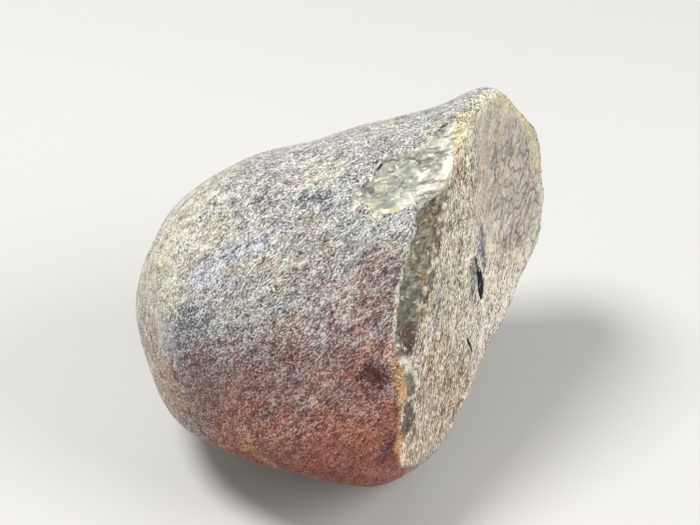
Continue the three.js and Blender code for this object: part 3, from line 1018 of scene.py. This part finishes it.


# The broken end's grain runs in upright streaks. Its deep part is calmer, with winding wrinkles
# that have painted shade down their furrows.
def brokenMaterial(groups):
    material, nodes, shader = newMaterial("brokenEnd", endLook["shader"])
    lay = nodes.lay(stoneRelief["streakRun"], endLook["stretch"])
    grain = nodes.group(groups["grain"], Vector=lay, Scale=endLook["grains"])
    deep, level = nodes.mask("deep"), nodes.mask("level")
    strip = nodes.blend(nodes.ramp(level, *endLook["foot"]), "brokenEnd", "footEnd")
    beyond = nodes.blend(nodes.ramp(level, *endLook["low"]), "deepEnd", "deepLow")
    base = nodes.blend(deep, strip, beyond)
    ground = nodes.group(groups["stains"], Colour=base, Vector=lay, Drift=1.0)[0]
    quiet = nodes.times(deep, nodes.ramp(level, *endLook["quiet"]))
    calm = nodes.between(*endLook["calm"], quiet)
    upright = nodes.lay(stoneRelief["streakRun"], endLook["streakStretch"])
    hue, low, high = nodes.split(nodes.noise(upright, *endLook["streaks"])["Color"])
    tint = nodes.blend(nodes.ramp(hue, *endLook["hues"]), "lilac", "straw")
    streaky = nodes.filtered(calm, ground, tint)
    dim = nodes.times(nodes.ramp(low, *endLook["dim"]), calm)
    streaky = nodes.filtered(dim, streaky, "crease")
    pale = nodes.times(nodes.ramp(high, *endLook["pale"]), calm)
    streaky = nodes.blend(nodes.times(pale, endLook["paleWhite"]), streaky, "white")
    straight, bend = endLook["wobble"]
    uneven = nodes.math("SUBTRACT", grain["Height"], straight)
    bent = nodes.math("MULTIPLY_ADD", uneven, bend, nodes.mask("fold"))
    # Painted shade down the middle of each wrinkle, which the relief also sinks.
    furrow = nodes.times(nodes.ramp(nodes.math("ABSOLUTE", bent), *endLook["furrow"]),
                         nodes.mask("wrinkled"))
    furrowed = nodes.filtered(furrow, streaky, "furrow")
    light = nodes.between(*endLook["light"], nodes.larger(nodes.mask("navyShade"), quiet))
    dark = nodes.between(*endLook["dark"], nodes.larger(quiet, nodes.mask("butter")))
    height = nodes.math("MULTIPLY_ADD", grain["Height"], nodes.between(*endLook["bump"], quiet),
                        nodes.times(furrow, endLook["furrowDepth"]))
    nodes.feed(shader["Base Color"], flecked(nodes, furrowed, grain, endLook["white"], light, dark,
                                             "darkFleck"))
    nodes.feed(shader["Roughness"], nodes.larger(nodes.crackShade(), endLook["roughness"]))
    nodes.feed(shader["Normal"], nodes.bump(height, endLook["bumpStrength"], grainBump))
    return material


glassLook = {
    "shader": {"Subsurface Weight": 0.15, "Subsurface Scale": 0.001, "Coat Roughness": 0.08,
               "Coat Weight": 0.4, "IOR": 1.54, "Roughness": 0.28},
    "stretch": 1.7,
    "wisps": (1000.0, 5.0, 0.65, 0.8),  # noises: in a metre, detail, roughness, distortion
    "lobes": (500.0, 2.0, 0.5, 0.7),
    "milkyWisps": (0.39, 0.62),  # of the wisps' noise, from none to a whole wisp
    "smokyWisps": (0.32, 0.70),
    "drift": 0.35,  # strength of the tints
    "crease": (0.03, 0.0),  # from a lobe's side to its crease, where shade is painted,
    "creased": (0.56, 0.46),  # and which lobes have one
    "creaseIn": (1.0, 0.5),  # its strength: milky, and smoky
    "edge": (0.045, 0.0),  # the same for painted highlights along the lobes' ridges,
    "ridgeHighlighted": (0.44, 0.54),
    "broken": (0.47, 0.60),  # which wisps break up
    "ridgeHighlightWhite": 0.95,
    "wispHeight": 0.1,
    "bump": 0.0014,  # m
}


# Fine wisps cross the glass. Two noises fold it into lobes, up where one passes its middle, with a
# painted highlight along the ridge here and there, and down where the other does, with painted
# shade in its crease.
def glassyMaterial(groups):
    material, nodes, shader = newMaterial("glassyFlake", glassLook["shader"])
    lay = nodes.lay(stoneRelief["shelfRun"], glassLook["stretch"])
    wisps = nodes.noise(lay, *glassLook["wisps"])[0]
    up, down, patch = nodes.split(nodes.noise(lay, *glassLook["lobes"])["Color"])
    milky = nodes.blend(nodes.ramp(wisps, *glassLook["milkyWisps"]), "milky", "milkyWisp")
    smoky = nodes.blend(nodes.ramp(wisps, *glassLook["smokyWisps"]), "smoky", "smokyWisp")
    both = nodes.blend(nodes.mask("smoky"), milky, smoky)
    colour = nodes.group(groups["stains"], Colour=both, Vector=lay, Drift=glassLook["drift"])[0]
    up, down = (nodes.math("ABSOLUTE", nodes.math("SUBTRACT", lobe, 0.5)) for lobe in (up, down))
    # Painted shade in the lobes' creases.
    crease = nodes.times(nodes.ramp(down, *glassLook["crease"]),
                         nodes.ramp(patch, *glassLook["creased"]))
    crease = nodes.times(crease, nodes.between(*glassLook["creaseIn"], nodes.mask("smoky")))
    # Painted highlight: white along the lobes' ridges, here and there.
    edge = nodes.times(nodes.ramp(up, *glassLook["edge"]),
                       nodes.times(nodes.ramp(patch, *glassLook["ridgeHighlighted"]),
                                   nodes.ramp(wisps, *glassLook["broken"])))
    creased = nodes.filtered(crease, colour, "crease")
    height = nodes.math("MULTIPLY_ADD", wisps, glassLook["wispHeight"],
                        nodes.math("SUBTRACT", down, up))
    nodes.feed(shader["Base Color"], nodes.blend(nodes.times(edge, glassLook["ridgeHighlightWhite"]),
                                                 creased, "white"))
    nodes.feed(shader["Normal"], nodes.bump(height, 1.0, glassLook["bump"]))
    return material


stone = makeStone()
groups = {"grain": sugarGrainGroup(), "stains": stainGroup()}
for material in (rindMaterial(groups), brokenMaterial(groups), glassyMaterial(groups)):
    stone.data.materials.append(material)
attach(stone, "root")
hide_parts("agate")
print("stone made:", len(stone.data.polygons), "squares")


studio = {
    "lens": 85.0,  # mm
    "cameraAt": (0.7, -231.4, 3.85),  # mm, in the held pose, looking straight away
    "clipStart": 0.01,  # m
    "lightsAim": (0, 0, 0.022),  # m, from the row's origin
    "floorSize": 3.0,  # m
    "floor": {"Base Color": tone(198, 196, 192), "Roughness": 0.8},
    "worldColour": tone(236, 238, 242),
    "worldStrength": 0.33,
    "lights": [  # name, place in the held pose in mm, size in m, watts
        ("keyLight", (-190, -230, 330), 0.16, 2.05),
        ("fillLight", (330, -200, 120), 0.30, 1.35),
        ("sideLight", (-330, -90, 30), 0.30, 0.3),
        ("backLight", (120, 330, 260), 0.40, 0.7)],
}


def makeStudio():
    cameraData = bpy.data.cameras.new("camera")
    cameraData.lens = studio["lens"]
    cameraData.clip_start = studio["clipStart"]
    camera = placeObject("camera", cameraData)
    camera.location = setDown(np.array([studio["cameraAt"]]))[0]
    camera.rotation_euler = (math.radians(90 - stoneShape["leanBack"]), 0, 0)
    bpy.context.scene.camera = camera

    target = Vector(studio["lightsAim"])
    for name, at, size, watts in studio["lights"]:
        lightData = bpy.data.lights.new(name, "AREA")
        lightData.shape = "DISK"
        lightData.size = size
        lightData.energy = watts
        light = placeObject(name, lightData)
        light.location = setDown(np.array([at]))[0]
        light.rotation_euler = (target - light.location).to_track_quat("-Z", "Y").to_euler()

    world = bpy.data.worlds.new("paleRoom")
    world.use_nodes = True
    background = world.node_tree.nodes["Background"].inputs
    background[0].default_value = studio["worldColour"]
    background[1].default_value = studio["worldStrength"]
    bpy.context.scene.world = world
    bpy.context.scene.view_settings.view_transform = "Standard"

    half = studio["floorSize"] / 2
    floorMesh = bpy.data.meshes.new("floor")
    corners = [(-half, -half, 0), (half, -half, 0), (half, half, 0), (-half, half, 0)]
    floorMesh.from_pydata(corners, [], [(0, 1, 2, 3)])
    floorMesh.materials.append(newMaterial("paleFloor", studio["floor"])[0])
    placeObject("floor", floorMesh)


makeStudio()
print("studio made")
